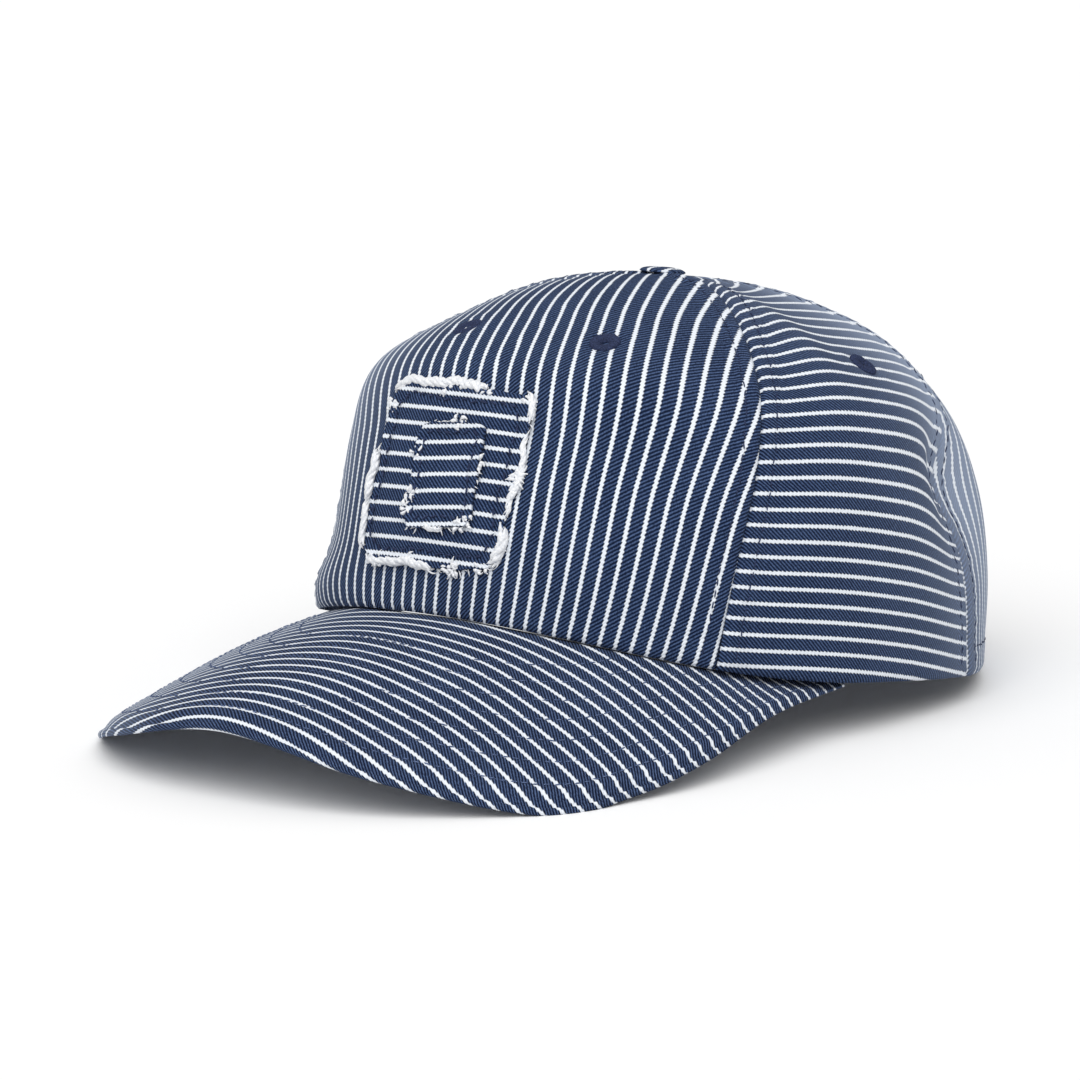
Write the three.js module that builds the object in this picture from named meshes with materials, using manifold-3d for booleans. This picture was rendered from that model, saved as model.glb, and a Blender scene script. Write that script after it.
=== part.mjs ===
// A five-panel striped work cap with a curved peak, as it rests on a table.
// Millimetres. In the cap's own frame the hem lies at z = 0, the peak points along -Y and the wearer's
// left is +X. The whole cap is then tipped until the back hem and the peak's low edges share one plane.
import * as THREE from "three";
import { mergeVertices } from "three/addons/utils/BufferGeometryUtils.js";
import Module from "manifold-3d";

const wasm = await Module();
wasm.setup();

// Crown
const crownHalfWidth = 80;
const crownFront = 94;
const crownBack = 89;
const crownHeight = 97;
const topForward = 13;
const frontCurveExponent = 2.25;
const frontLift = 9.2;
const clothWall = 1.5;
const seamGap = 0.3;
const stitchGap = 0.3;

// Peak
const peakReach = 76;
const peakHalfWidth = 83;
const peakDrop = 26;
const peakBulge = 0.33;
const peakThickness = 3.2;
const peakEndThickness = 1.4;
const peakTuck = 9.5;
const peakEndDegrees = 79;

// Button and eyelets
const buttonRadius = 6;
const buttonHeight = 1.5;
const buttonHole = 4;
const buttonForward = 1.5;
const eyeletRadius = 3.9;
const eyeletHole = 1.1;
const eyeletHeight = 1.1;

// Patches on the front panel
const patchWall = 1;
const patchWidth = 48;
const patchHeight = 46;
const patchSide = -7;
const patchAboveHem = 35;
const innerPatchWidth = 21;
const innerPatchHeight = 27;
const innerPatchSide = -4;
const innerPatchTurnDegrees = 6;

// Opening, strap and buckle at the back
const openingHalfWidth = 34;
const openingHeight = 42;
const openingStraight = 8;
const strapWidth = 17;
const strapThickness = 2;
const strapLift = 5;
const strapOverlap = 14;
const buckleWidth = 22;
const buckleWire = 1.2;

// How deep the cloth is pressed flat where the cap rests
const restFlat = 0.4;

// How finely the surfaces are divided
const panelRows = 12;
const frontColumns = 22;
const sideColumns = 11;
const backColumns = 12;
const peakColumns = 36;
const peakRows = 6;

// Crown sections from the hem to the button, at equal steps of rise. Height is a share of crownHeight,
// width of crownHalfWidth, front of crownFront and back of crownBack.
const crownSections = [
  { height: 0, width: 1, front: 1, back: 1 },
  { height: 0.259, width: 0.986, front: 0.938, back: 1.034 },
  { height: 0.5, width: 0.954, front: 0.843, back: 0.981 },
  { height: 0.707, width: 0.865, front: 0.745, back: 0.855 },
  { height: 0.866, width: 0.608, front: 0.492, back: 0.746 },
  { height: 0.966, width: 0.328, front: 0.23, back: 0.435 },
  { height: 1, width: 0, front: 0, back: 0 },
];

// The peak's rim from the middle of its front to its end, at equal steps. Side is a share of
// peakHalfWidth, forward of the length from the crown's middle to the tip, and drop of peakDrop.
const peakRim = [
  { side: 0, forward: 1, drop: 0.546 },
  { side: 0.498, forward: 0.952, drop: 0.8 },
  { side: 0.873, forward: 0.794, drop: 1 },
  { side: 0.973, forward: 0.647, drop: 0.81 },
  { side: 0.998, forward: 0.508, drop: 0.523 },
  { side: 0.952, forward: 0.336, drop: 0.2 },
  { side: 0.88, forward: 0.12, drop: 0.012 },
];

// Where the seams run, in degrees from the middle of the front, at equal steps of rise.
const seams = [
  { frontSeam: 51.4, sideSeam: 108.5 },
  { frontSeam: 56.5, sideSeam: 111 },
  { frontSeam: 62.5, sideSeam: 129 },
  { frontSeam: 71, sideSeam: 136 },
];

// Dents and rolls in the cloth. Azimuth and its spread are degrees from the middle of the front, rise and
// its spread are shares of the way from hem to button, and push, outwards, is a share of crownHalfWidth.
const folds = [
  { azimuth: 111, rise: 0.35, azimuthSpread: 9.5, riseSpread: 0.11, push: -0.085 },
  { azimuth: 128, rise: 0.25, azimuthSpread: 14, riseSpread: 0.2, push: 0.008 },
  { azimuth: -112, rise: 0.3, azimuthSpread: 13, riseSpread: 0.15, push: -0.04 },
  { azimuth: -42, rise: 0.04, azimuthSpread: 22, riseSpread: 0.06, push: 0.045 },
  { azimuth: -50, rise: 0.4, azimuthSpread: 26, riseSpread: 0.16, push: 0.026 },
  { azimuth: 80, rise: 0.66, azimuthSpread: 9, riseSpread: 0.16, push: 0.024 },
  { azimuth: -84, rise: 0.62, azimuthSpread: 10, riseSpread: 0.15, push: 0.016 },
];

// Eyelets on each side of the cap, placed as the folds are.
const eyelets = [
  { name: "front", azimuth: 20.4, rise: 0.6 },
  { name: "side", azimuth: 97, rise: 0.6 },
  { name: "back", azimuth: 145, rise: 0.6 },
];

const sides = [
  { name: "left", sign: 1 },
  { name: "right", sign: -1 },
];

const degree = Math.PI / 180;
const tinyStep = 1e-3;

// A column of a table read smoothly at a share of its length. Past either end it goes on straight, or
// mirrors the rows before with the sign given for that end.
function smooth(rows, column, share, endSign = 0, startSign = 0) {
  const last = rows.length - 1;
  const place = Math.min(Math.max(share, 0), 1) * last;
  const row = Math.min(Math.floor(place), last - 1);
  const part = place - row;
  const from = rows[row][column];
  const to = rows[row + 1][column];
  let before = startSign ? startSign * to : 2 * from - to;
  if (row > 0) {
    before = rows[row - 1][column];
  }
  let after = endSign ? endSign * from : 2 * to - from;
  if (row + 2 <= last) {
    after = rows[row + 2][column];
  }
  const bend = 2 * before - 5 * from + 4 * to - after;
  const twist = 3 * from - before - 3 * to + after;
  return from + 0.5 * part * (to - before + part * (bend + part * twist));
}

function signedPower(value, power) {
  return Math.sign(value) * Math.abs(value) ** power;
}

// The hem's height share over the peak: 1 in the middle of the front, 0 from the peak's ends back.
function hemArch(azimuth) {
  const share = Math.min(Math.abs(azimuth) / (peakEndDegrees * degree), 1);
  return 0.5 + 0.5 * Math.cos(Math.PI * share);
}

// The crown's outer face without its folds. Azimuth is in radians from the front towards the left.
function crownSkin(azimuth, rise) {
  const height = smooth(crownSections, "height", rise, 1);
  const width = crownHalfWidth * smooth(crownSections, "width", rise, -1);
  const front = crownFront * smooth(crownSections, "front", rise, -1);
  const back = crownBack * smooth(crownSections, "back", rise, -1);
  const faces = Math.cos(azimuth);
  const power = faces > 0 ? 2 / frontCurveExponent : 1;
  const depth = faces > 0 ? front : back;
  return new THREE.Vector3(
    width * signedPower(Math.sin(azimuth), power),
    -depth * signedPower(faces, power) - topForward * height,
    frontLift * hemArch(azimuth) * (1 - height) + crownHeight * height,
  );
}

function crownNormal(azimuth, rise) {
  const low = Math.max(rise - tinyStep, 0);
  const high = Math.min(rise + tinyStep, 1);
  const round = crownSkin(azimuth + tinyStep, rise).sub(crownSkin(azimuth - tinyStep, rise));
  const up = crownSkin(azimuth, high).sub(crownSkin(azimuth, low));
  return round.cross(up).normalize();
}

function foldPush(azimuth, rise) {
  let push = 0;
  for (const fold of folds) {
    const turn = (azimuth / degree - fold.azimuth) / fold.azimuthSpread;
    const climb = (rise - fold.rise) / fold.riseSpread;
    push += fold.push * crownHalfWidth * Math.exp(-turn * turn - climb * climb);
  }
  return push;
}

// A point of the crown's cloth, a given depth under its outer face, or above it where depth is negative.
function crownPoint(azimuth, rise, depth) {
  const normal = crownNormal(azimuth, rise);
  return crownSkin(azimuth, rise).addScaledVector(normal, foldPush(azimuth, rise) - depth);
}

// The turn, in radians, that moves a point of the crown sideways by a length.
function turnFor(length, azimuth, rise) {
  const ahead = crownSkin(azimuth + tinyStep, rise);
  const behind = crownSkin(azimuth - tinyStep, rise);
  return (length * 2 * tinyStep) / ahead.distanceTo(behind);
}

// The rise at which a rising measure of the crown reaches a value.
function riseWhere(measure, value) {
  let low = 0;
  let high = 1;
  for (let step = 0; step < 40; step++) {
    const middle = (low + high) / 2;
    if (measure(middle) < value) {
      low = middle;
    } else {
      high = middle;
    }
  }
  return low;
}

const riseAtHeight = (height) =>
  riseWhere((rise) => crownHeight * smooth(crownSections, "height", rise, 1), height);
const panelTop = riseWhere(
  (rise) => -crownHalfWidth * smooth(crownSections, "width", rise, -1),
  -buttonHole,
);

function frontSeam(rise) {
  return smooth(seams, "frontSeam", rise) * degree;
}

function sideSeam(rise) {
  return smooth(seams, "sideSeam", rise) * degree;
}

// A closed sheet over a grid. pointAt gives a point for shares u and v and for the outer or inner face,
// and u, v and the outward direction follow the right hand.
function sheetGeometry(columns, rows, pointAt) {
  const positions = [];
  const index = [];
  const width = columns + 1;
  const faceSize = width * (rows + 1);
  for (const outer of [true, false]) {
    for (let row = 0; row <= rows; row++) {
      for (let column = 0; column <= columns; column++) {
        positions.push(...pointAt(column / columns, row / rows, outer).toArray());
      }
    }
  }
  const at = (column, row, outer) => (outer ? 0 : faceSize) + row * width + column;
  const quad = (a, b, c, d) => index.push(a, b, c, a, c, d);
  for (let row = 0; row < rows; row++) {
    for (let column = 0; column < columns; column++) {
      quad(
        at(column, row, true),
        at(column + 1, row, true),
        at(column + 1, row + 1, true),
        at(column, row + 1, true),
      );
      quad(
        at(column, row, false),
        at(column, row + 1, false),
        at(column + 1, row + 1, false),
        at(column + 1, row, false),
      );
    }
  }
  for (let column = 0; column < columns; column++) {
    quad(at(column, 0, false), at(column + 1, 0, false), at(column + 1, 0, true), at(column, 0, true));
    quad(
      at(column, rows, true),
      at(column + 1, rows, true),
      at(column + 1, rows, false),
      at(column, rows, false),
    );
  }
  for (let row = 0; row < rows; row++) {
    quad(at(0, row, false), at(0, row, true), at(0, row + 1, true), at(0, row + 1, false));
    quad(
      at(columns, row, true),
      at(columns, row, false),
      at(columns, row + 1, false),
      at(columns, row + 1, true),
    );
  }
  const geometry = new THREE.BufferGeometry();
  geometry.setAttribute("position", new THREE.Float32BufferAttribute(positions, 3));
  geometry.setIndex(index);
  return geometry;
}

function toSolid(geometry) {
  const bare = geometry.clone();
  bare.deleteAttribute("normal");
  bare.deleteAttribute("uv");
  const merged = mergeVertices(bare, 1e-4);
  return new wasm.Manifold(
    new wasm.Mesh({
      numProp: 3,
      vertProperties: new Float32Array(merged.attributes.position.array),
      triVerts: new Uint32Array(merged.index.array),
    }),
  );
}

function fromSolid(solid) {
  const mesh = solid.getMesh();
  const geometry = new THREE.BufferGeometry();
  geometry.setAttribute("position", new THREE.Float32BufferAttribute(mesh.vertProperties, 3));
  geometry.setIndex(Array.from(mesh.triVerts));
  return geometry;
}

function cutAway(geometry, ...cutters) {
  const solid = cutters.reduce((rest, cutter) => rest.subtract(toSolid(cutter)), toSolid(geometry));
  return fromSolid(solid);
}

// A panel of the crown between two seams, with half the seam's gap left at each side.
function panelGeometry(fromSeam, toSeam, columns) {
  return sheetGeometry(columns, panelRows, (u, v, outer) => {
    const rise = v * panelTop;
    const from = fromSeam(rise);
    const to = toSeam(rise);
    const start = from + turnFor(seamGap / 2, from, rise);
    const end = to - turnFor(seamGap / 2, to, rise);
    return crownPoint(start + (end - start) * u, rise, outer ? 0 : clothWall);
  });
}

// The arched opening at the back, as a block that runs through the wall.
function openingCutter() {
  const outline = new THREE.Shape();
  outline.moveTo(-openingHalfWidth, -openingHeight);
  outline.lineTo(openingHalfWidth, -openingHeight);
  outline.lineTo(openingHalfWidth, openingStraight);
  outline.absellipse(
    0,
    openingStraight,
    openingHalfWidth,
    openingHeight - openingStraight,
    0,
    Math.PI,
    false,
    0,
  );
  const block = new THREE.ExtrudeGeometry(outline, {
    depth: crownBack,
    bevelEnabled: false,
    curveSegments: 16,
  });
  block.rotateX(Math.PI / 2);
  block.translate(0, crownBack * 1.5, 0);
  return block;
}

// Along the peak, from its right end at share -1 to its left end at share 1. How far the place has come
// towards an end, from 0 until the given share to 1 at the end.
function nearEnd(share, from) {
  return THREE.MathUtils.smoothstep(Math.abs(share), from, 1);
}

// The line under the crown's hem, tucked further in towards the ends.
function peakInner(share) {
  const azimuth = share * peakEndDegrees * degree;
  const point = crownSkin(azimuth, 0);
  const height = point.z;
  point.z = 0;
  point.setLength(point.length() - clothWall - (peakTuck - clothWall) * nearEnd(share, 0.5));
  point.z = height - stitchGap;
  return point;
}

function peakOutline(share) {
  const place = Math.abs(share);
  return new THREE.Vector3(
    Math.sign(share) * peakHalfWidth * smooth(peakRim, "side", place, 0, -1),
    -(crownFront + peakReach) * smooth(peakRim, "forward", place, 0, 1),
    -peakDrop * smooth(peakRim, "drop", place, 0, 1),
  );
}

function thicknessAt(share) {
  return THREE.MathUtils.lerp(peakThickness, peakEndThickness, nearEnd(share, 0.6));
}

// The peak's section at one share of its length: the top from the crown out, a rounded edge, and the
// underside back again.
function peakSection(share) {
  const inner = peakInner(share);
  const outer = peakOutline(share);
  const thickness = thicknessAt(share);
  const out = outer.clone().sub(inner);
  out.z = 0;
  out.normalize();
  const points = [];
  for (let row = 0; row <= peakRows; row++) {
    const part = row / peakRows;
    const point = inner.clone().lerp(outer, part);
    point.z += (inner.z - outer.z) * peakBulge * part * (1 - part);
    points.push(point);
  }
  const nose = outer.clone().addScaledVector(out, thickness * 0.35);
  nose.z -= thickness / 2;
  const under = points.map((point) => point.clone().setZ(point.z - thickness));
  return [...points, nose, ...under.reverse()];
}

function peakGeometry() {
  const positions = [];
  const index = [];
  const sectionSize = 2 * peakRows + 3;
  for (let column = 0; column <= peakColumns; column++) {
    const share = (2 * column) / peakColumns - 1;
    for (const point of peakSection(share)) {
      positions.push(...point.toArray());
    }
  }
  for (let column = 0; column < peakColumns; column++) {
    for (let place = 0; place < sectionSize; place++) {
      const next = (place + 1) % sectionSize;
      const here = column * sectionSize;
      const there = here + sectionSize;
      index.push(here + place, here + next, there + next);
      index.push(here + place, there + next, there + place);
    }
  }
  const lastSection = peakColumns * sectionSize;
  for (let place = 0; place + 2 < sectionSize - place; place++) {
    const low = place;
    const high = sectionSize - 1 - place;
    index.push(low, high, low + 1);
    index.push(lastSection + low, lastSection + low + 1, lastSection + high);
    if (low + 1 < high - 1) {
      index.push(low + 1, high, high - 1);
      index.push(lastSection + low + 1, lastSection + high - 1, lastSection + high);
    }
  }
  const geometry = new THREE.BufferGeometry();
  geometry.setAttribute("position", new THREE.Float32BufferAttribute(positions, 3));
  geometry.setIndex(index);
  return geometry;
}

function ringGeometry(profile, segments) {
  const points = profile.map(([radius, height]) => new THREE.Vector2(radius, height));
  return new THREE.LatheGeometry(points, segments).rotateX(Math.PI / 2);
}

// A sewn eyelet: a low ring with a small hole.
function eyeletGeometry() {
  const crest = (eyeletRadius + eyeletHole) / 2;
  return ringGeometry(
    [
      [eyeletHole, 0],
      [eyeletRadius, 0],
      [eyeletRadius, eyeletHeight * 0.4],
      [crest, eyeletHeight],
      [eyeletHole, eyeletHeight * 0.5],
      [eyeletHole, 0],
    ],
    14,
  );
}

function buttonGeometry() {
  return ringGeometry(
    [
      [0, 0],
      [buttonRadius * 0.9, 0],
      [buttonRadius, buttonHeight * 0.25],
      [buttonRadius * 0.93, buttonHeight * 0.55],
      [buttonRadius * 0.68, buttonHeight * 0.85],
      [buttonRadius * 0.35, buttonHeight * 0.97],
      [0, buttonHeight],
    ],
    20,
  );
}

// The azimuth of the front panel's point that lies a given way beside its middle.
function frontAzimuth(side, rise) {
  const width = crownHalfWidth * smooth(crownSections, "width", rise, -1);
  return Math.asin(signedPower(side / width, frontCurveExponent / 2));
}

// The rise of the point of the front panel's middle line at a length above the hem.
function riseAbove(length) {
  const step = 0.002;
  let rise = 0;
  let climbed = 0;
  while (climbed < length && rise + step < 1) {
    climbed += crownSkin(0, rise + step).distanceTo(crownSkin(0, rise));
    rise += step;
  }
  return rise;
}

// A patch sewn on the front panel, with its inner face a given height over the panel.
function patchGeometry(width, height, middle, turnDegrees, over, divisions) {
  const turn = turnDegrees * degree;
  return sheetGeometry(divisions, divisions, (u, v, outer) => {
    const across = (u - 0.5) * width;
    const up = (v - 0.5) * height;
    const side = middle + across * Math.cos(turn) - up * Math.sin(turn);
    const climb = patchAboveHem + across * Math.sin(turn) + up * Math.cos(turn);
    const rise = riseAbove(climb);
    return crownPoint(frontAzimuth(side, rise), rise, outer ? -over - patchWall : -over);
  });
}

// The strap follows the inside of the crown's back, and its ends lie behind the back panels.
const strapTurn = turnFor(openingHalfWidth + strapOverlap, Math.PI, 0);
const strapDepth = clothWall + stitchGap;

function strapPoint(u, v, depth) {
  const azimuth = Math.PI + (u - 0.5) * 2 * strapTurn;
  return crownPoint(azimuth, riseAtHeight(strapLift + v * strapWidth), depth);
}

function strapGeometry() {
  return sheetGeometry(16, 2, (u, v, outer) =>
    strapPoint(u, v, outer ? strapDepth : strapDepth + strapThickness),
  );
}

// A plain metal loop round the strap, large enough for the strap's bend inside it.
function buckleGeometry() {
  const halfShare = buckleWidth / 2 / (openingHalfWidth + strapOverlap) / 2;
  const held = new THREE.Box3();
  for (const u of [0.5 - halfShare, 0.5, 0.5 + halfShare]) {
    for (const v of [0, 0.5, 1]) {
      held.expandByPoint(strapPoint(u, v, strapDepth));
      held.expandByPoint(strapPoint(u, v, strapDepth + strapThickness));
    }
  }
  const middle = held.getCenter(new THREE.Vector3());
  const size = held.getSize(new THREE.Vector3()).addScalar(2 * stitchGap);
  const outer = new THREE.BoxGeometry(buckleWidth, size.y + 2 * buckleWire, size.z + 2 * buckleWire);
  const inner = new THREE.BoxGeometry(buckleWidth * 2, size.y, size.z);
  const loop = cutAway(outer, inner);
  loop.translate(middle.x, middle.y, middle.z);
  return loop;
}

// How the cap lies: the tilt at which the back hem and the peak's edge reach equally low.
function lowest(points, tilt) {
  return Math.min(...points.map((point) => point.z * Math.cos(tilt) - point.y * Math.sin(tilt)));
}

function restingTilt() {
  const hem = [];
  const edge = [];
  for (let step = 0; step <= 60; step++) {
    const azimuth = (0.5 + (0.5 * step) / 60) * Math.PI;
    const point = crownPoint(azimuth, 0, 0);
    if (point.x > openingHalfWidth) {
      hem.push(point);
    }
    const under = peakOutline(step / 60);
    under.z -= thicknessAt(step / 60);
    edge.push(under);
  }
  let low = 0;
  let high = 0.5;
  for (let step = 0; step < 40; step++) {
    const middle = (low + high) / 2;
    if (lowest(hem, middle) > lowest(edge, middle)) {
      low = middle;
    } else {
      high = middle;
    }
  }
  return { tilt: low, low: lowest(hem, low) };
}

const rest = restingTilt();
const cap = new THREE.Group();
cap.rotation.x = -rest.tilt;
cap.position.z = -rest.low - restFlat;
cap.updateMatrixWorld(true);

// A block under the resting plane, in the cap's own frame, that presses flat what reaches below it.
const floorSize = 4 * (crownFront + peakReach);
const floorBlock = new THREE.BoxGeometry(floorSize, floorSize, crownHeight);
floorBlock.translate(0, 0, -crownHeight / 2);
floorBlock.applyMatrix4(cap.matrixWorld.clone().invert());

function cloth(colour) {
  return new THREE.MeshStandardMaterial({ color: colour, roughness: 0.9, metalness: 0 });
}

const navyDenim = 0x3d4666;
const paleDenim = 0x4c5675;
const navyThread = 0x2b3556;

function addPiece(name, geometry, material) {
  const mesh = new THREE.Mesh(geometry, material);
  mesh.name = name;
  cap.add(mesh);
  return mesh;
}

addPiece(
  "front_panel",
  panelGeometry((rise) => -frontSeam(rise), frontSeam, frontColumns),
  cloth(navyDenim),
);

const opening = openingCutter();
const backMiddle = () => Math.PI;
const backMiddleRight = () => -Math.PI;
const panelSides = {
  left: {
    side: [frontSeam, sideSeam],
    back: [sideSeam, backMiddle],
  },
  right: {
    side: [(rise) => -sideSeam(rise), (rise) => -frontSeam(rise)],
    back: [backMiddleRight, (rise) => -sideSeam(rise)],
  },
};

for (const { name, sign } of sides) {
  const seamsOf = panelSides[name];
  addPiece("side_panel_" + name, panelGeometry(...seamsOf.side, sideColumns), cloth(paleDenim));
  const back = panelGeometry(...seamsOf.back, backColumns);
  addPiece("back_panel_" + name, cutAway(back, opening, floorBlock), cloth(navyDenim));

  for (const eyelet of eyelets) {
    const azimuth = sign * eyelet.azimuth * degree;
    const ring = addPiece("eyelet_" + eyelet.name + "_" + name, eyeletGeometry(), cloth(navyThread));
    ring.position.copy(crownPoint(azimuth, eyelet.rise, -stitchGap));
    const normal = crownNormal(azimuth, eyelet.rise);
    ring.quaternion.setFromUnitVectors(new THREE.Vector3(0, 0, 1), normal);
  }
}

addPiece("peak", cutAway(peakGeometry(), floorBlock), cloth(paleDenim));

const button = addPiece("top_button", buttonGeometry(), cloth(navyDenim));
button.position.copy(crownPoint(0, panelTop, 0));
button.position.y = crownSkin(0, 1).y - buttonForward;
button.position.z += stitchGap;

addPiece(
  "front_patch",
  patchGeometry(patchWidth, patchHeight, patchSide, 0, stitchGap, 10),
  cloth(navyDenim),
);
addPiece(
  "front_patch_inner",
  patchGeometry(
    innerPatchWidth,
    innerPatchHeight,
    innerPatchSide,
    innerPatchTurnDegrees,
    patchWall + 2 * stitchGap,
    6,
  ),
  cloth(paleDenim),
);

addPiece("back_strap", cutAway(strapGeometry(), floorBlock), cloth(navyDenim));
addPiece(
  "strap_buckle",
  buckleGeometry(),
  new THREE.MeshStandardMaterial({ color: 0x8d8f92, roughness: 0.35, metalness: 1 }),
);

// The middle of the resting cap's box stands over the origin.
cap.updateMatrixWorld(true);
const box = new THREE.Box3().setFromObject(cap, true);
cap.position.x -= (box.min.x + box.max.x) / 2;
cap.position.y -= (box.min.y + box.max.y) / 2;

const group = new THREE.Group();
group.add(cap);

export default group;
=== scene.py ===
import math

import bpy
import numpy as np
from mathutils import Matrix, Vector


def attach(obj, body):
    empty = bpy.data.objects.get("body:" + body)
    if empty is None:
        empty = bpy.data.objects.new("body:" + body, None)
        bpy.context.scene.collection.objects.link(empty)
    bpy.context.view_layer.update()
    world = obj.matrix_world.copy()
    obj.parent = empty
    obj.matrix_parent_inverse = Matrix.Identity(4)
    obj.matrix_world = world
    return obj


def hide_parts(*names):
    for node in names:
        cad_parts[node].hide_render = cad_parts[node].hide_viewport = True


# Everything is laid out in millimetres in the cap's own frame, with the hem at z = 0 and the peak along -Y,
# and then moved by the way the cap rests into the frame's metres.
rest = {"tilt": math.radians(7.829748), "backward": 40.156, "up": 10.5437}
stitchLift = 0.12

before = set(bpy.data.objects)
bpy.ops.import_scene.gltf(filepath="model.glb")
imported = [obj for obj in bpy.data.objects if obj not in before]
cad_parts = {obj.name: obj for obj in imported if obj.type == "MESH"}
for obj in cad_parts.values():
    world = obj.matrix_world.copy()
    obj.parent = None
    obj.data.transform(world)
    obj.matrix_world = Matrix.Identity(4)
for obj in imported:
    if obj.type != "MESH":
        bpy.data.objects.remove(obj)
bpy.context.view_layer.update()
chance = np.random.default_rng(11)


# Colours and numbers

def colour(code):
    parts = [int(code[place:place + 2], 16) / 255 for place in (1, 3, 5)]
    return tuple(p / 12.92 if p <= 0.04045 else ((p + 0.055) / 1.055) ** 2.4 for p in parts) + (1.0,)


def easeBetween(low, high, value):
    share = np.clip((value - low) / (high - low), 0, 1)
    return share * share * (3 - 2 * share)


# Rows of values read smoothly at shares of their length. Past an end they go on straight, or mirror.
def readRows(values, share, startSign=0, endSign=0):
    rows = np.asarray(values, float)
    last = len(rows) - 1
    place = np.clip(np.asarray(share, float), 0, 1) * last
    row = np.minimum(np.floor(place).astype(int), last - 1)
    part = place - row
    part = part.reshape(part.shape + (1,) * (rows.ndim - 1))
    first = startSign * rows[1] if startSign else 2 * rows[0] - rows[1]
    final = endSign * rows[last - 1] if endSign else 2 * rows[last] - rows[last - 1]
    padded = np.concatenate([np.asarray(first)[None], rows, np.asarray(final)[None]])
    before, here, there, after = (padded[row + step] for step in range(4))
    bend = 2 * before - 5 * here + 4 * there - after
    twist = 3 * here - before - 3 * there + after
    return here + 0.5 * part * (there - before + part * (bend + part * twist))


def signedPower(value, power):
    return np.sign(value) * np.abs(value) ** power


def unit(vectors):
    return vectors / (np.linalg.norm(vectors, axis=-1, keepdims=True) + 1e-12)


# An uneven wave along a length, from a few sines that never line up.
def wave(length, shift):
    return (np.sin(length * 2.03 + shift) + 0.7 * np.sin(length * 1.19 + 2.3 * shift)
            + 0.5 * np.sin(length * 0.71 + 4.1 * shift)) / 2.2


# The crown

crown = {
    "halfWidth": 80, "front": 94, "back": 89, "height": 97, "topForward": 13, "frontPower": 2.25,
    "frontLift": 9.2, "archDegrees": 79, "wall": 1.5, "buttonHole": 4,
}
crownSections = {
    "height": [0, 0.259, 0.5, 0.707, 0.866, 0.966, 1],
    "width": [1, 0.986, 0.954, 0.865, 0.608, 0.328, 0],
    "front": [1, 0.938, 0.843, 0.745, 0.492, 0.23, 0],
    "back": [1, 1.034, 0.981, 0.855, 0.746, 0.435, 0],
}
seamDegrees = {"front": [51.4, 56.5, 62.5, 71], "side": [108.5, 111, 129, 136]}
folds = [
    {"azimuth": 111, "rise": 0.35, "wide": 9.5, "tall": 0.11, "push": -0.085},
    {"azimuth": 128, "rise": 0.25, "wide": 14, "tall": 0.2, "push": 0.008},
    {"azimuth": -112, "rise": 0.3, "wide": 13, "tall": 0.15, "push": -0.04},
    {"azimuth": -42, "rise": 0.04, "wide": 22, "tall": 0.06, "push": 0.045},
    {"azimuth": -50, "rise": 0.4, "wide": 26, "tall": 0.16, "push": 0.026},
    {"azimuth": 80, "rise": 0.66, "wide": 9, "tall": 0.16, "push": 0.024},
    {"azimuth": -84, "rise": 0.62, "wide": 10, "tall": 0.15, "push": 0.016},
]


def sectionAt(column, rise):
    return readRows(crownSections[column], rise, 0, 1 if column == "height" else -1)


def crownSkin(azimuth, rise):
    azimuth, rise = np.broadcast_arrays(np.asarray(azimuth, float), np.asarray(rise, float))
    height = sectionAt("height", rise)
    faces = np.cos(azimuth)
    front = faces > 0
    power = np.where(front, 2 / crown["frontPower"], 1)
    depth = np.where(
        front, crown["front"] * sectionAt("front", rise), crown["back"] * sectionAt("back", rise))
    arch = np.clip(np.abs(azimuth) / math.radians(crown["archDegrees"]), 0, 1)
    lift = crown["frontLift"] * (0.5 + 0.5 * np.cos(np.pi * arch))
    side = crown["halfWidth"] * sectionAt("width", rise) * signedPower(np.sin(azimuth), power)
    ahead = -depth * signedPower(faces, power) - crown["topForward"] * height
    return np.stack([side, ahead, lift * (1 - height) + crown["height"] * height], -1)


def crownNormal(azimuth, rise):
    step = 1e-3
    around = crownSkin(azimuth + step, rise) - crownSkin(azimuth - step, rise)
    upward = crownSkin(azimuth, np.minimum(rise + step, 1)) - crownSkin(azimuth, np.maximum(rise - step, 0))
    return unit(np.cross(around, upward))


def foldPush(azimuth, rise):
    push = 0
    for fold in folds:
        turn = (np.degrees(azimuth) - fold["azimuth"]) / fold["wide"]
        climb = (rise - fold["rise"]) / fold["tall"]
        push = push + fold["push"] * crown["halfWidth"] * np.exp(-turn ** 2 - climb ** 2)
    return push


def crownPoint(azimuth, rise, over=0.0):
    push = foldPush(azimuth, rise) + over
    return crownSkin(azimuth, rise) + crownNormal(azimuth, rise) * np.asarray(push)[..., None]


riseSteps = np.linspace(0, 1, 2001)
halfWidths = crown["halfWidth"] * sectionAt("width", riseSteps)
panelTop = float(np.interp(-crown["buttonHole"], -halfWidths, riseSteps))
middleLine = crownSkin(np.zeros(2001), riseSteps)
middleClimb = np.r_[0, np.cumsum(np.linalg.norm(np.diff(middleLine, axis=0), axis=-1))]


def seamAt(name, sign=1):
    return lambda rise: sign * np.radians(readRows(seamDegrees[name], rise))


def riseAtHeight(height):
    return np.interp(height, crown["height"] * sectionAt("height", riseSteps), riseSteps)


# Meshes

def toFrame(points):
    x, y, z = (points[..., place] for place in range(3))
    cos, sin = math.cos(rest["tilt"]), math.sin(rest["tilt"])
    # The floor presses flat what rests on it.
    height = np.maximum(-sin * y + cos * z + rest["up"], 0)
    return np.stack([x, cos * y + sin * z + rest["backward"], height], -1) / 1000


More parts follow.
